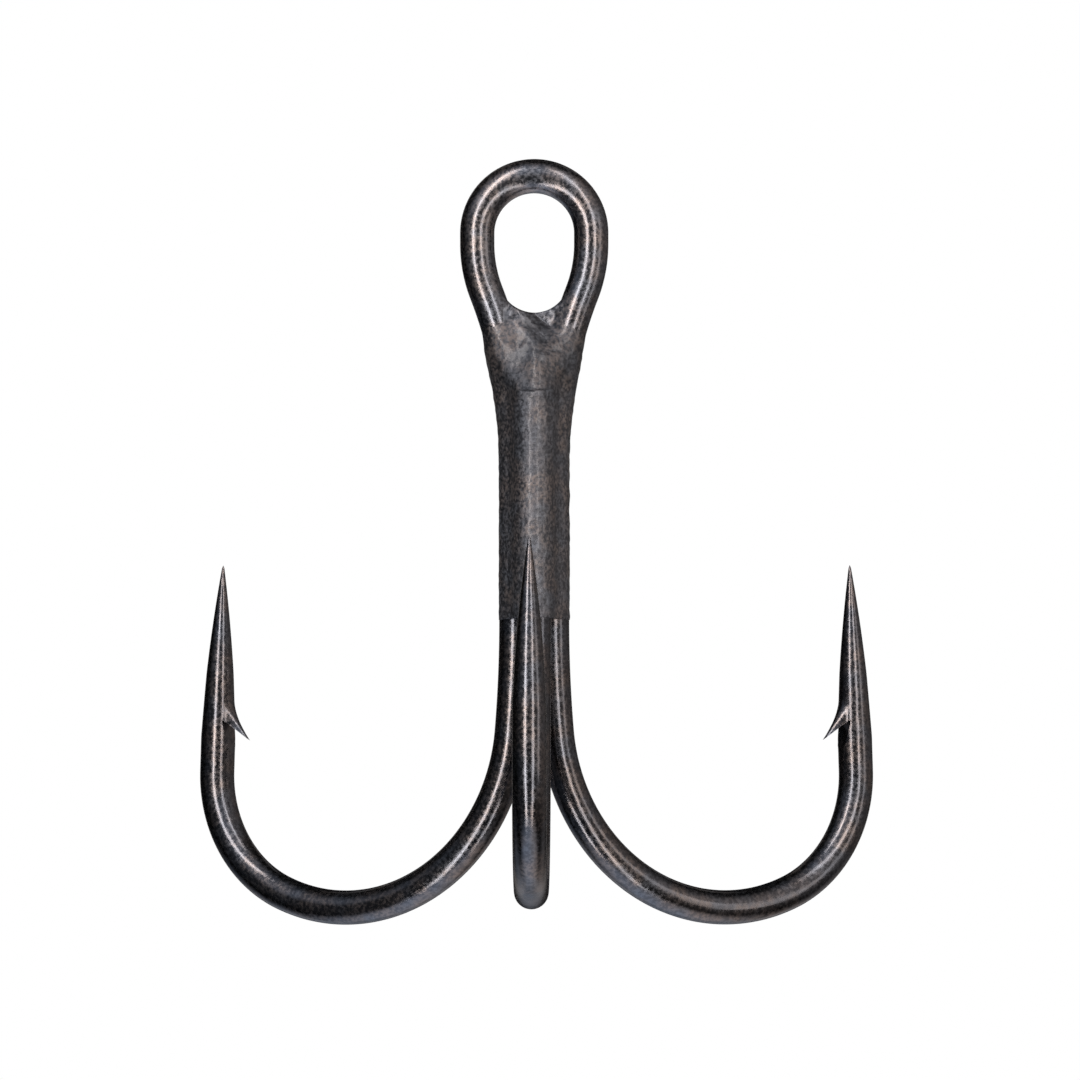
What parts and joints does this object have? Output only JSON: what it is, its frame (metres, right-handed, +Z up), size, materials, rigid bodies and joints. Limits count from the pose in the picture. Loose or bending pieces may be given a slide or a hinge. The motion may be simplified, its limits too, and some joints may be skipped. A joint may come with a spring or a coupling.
{
  "type": "treble hook",
  "caption": "Treble fishing hook: barbed, round-bend wire hooks brazed back to back along a common shank, under an oval wire eye for a split ring.",
  "frame": {"origin": "centre of the eye's opening, in the plane of the double wire", "axes": "+Z up along the shanks towards the eye's top bend, Y through the eye, the single hook opening towards -Y, X across the eye"},
  "size_m": [0.0274, 0.024, 0.031],
  "materials": {
    "hook_wire": "black-nickel plated high-carbon steel wire, semi-gloss",
    "braze": "black-nickel plated braze, satin and slightly uneven"
  },
  "bodies": {
    "root": {"double_hook_wire": "hook_wire", "single_hook_wire": "hook_wire", "braze_rear_seam": "braze", "braze_left_seam": "braze", "braze_right_seam": "braze", "braze_core": "braze", "braze_eye_web": "braze", "braze_ramp": "braze"}
  },
  "joints": []
}
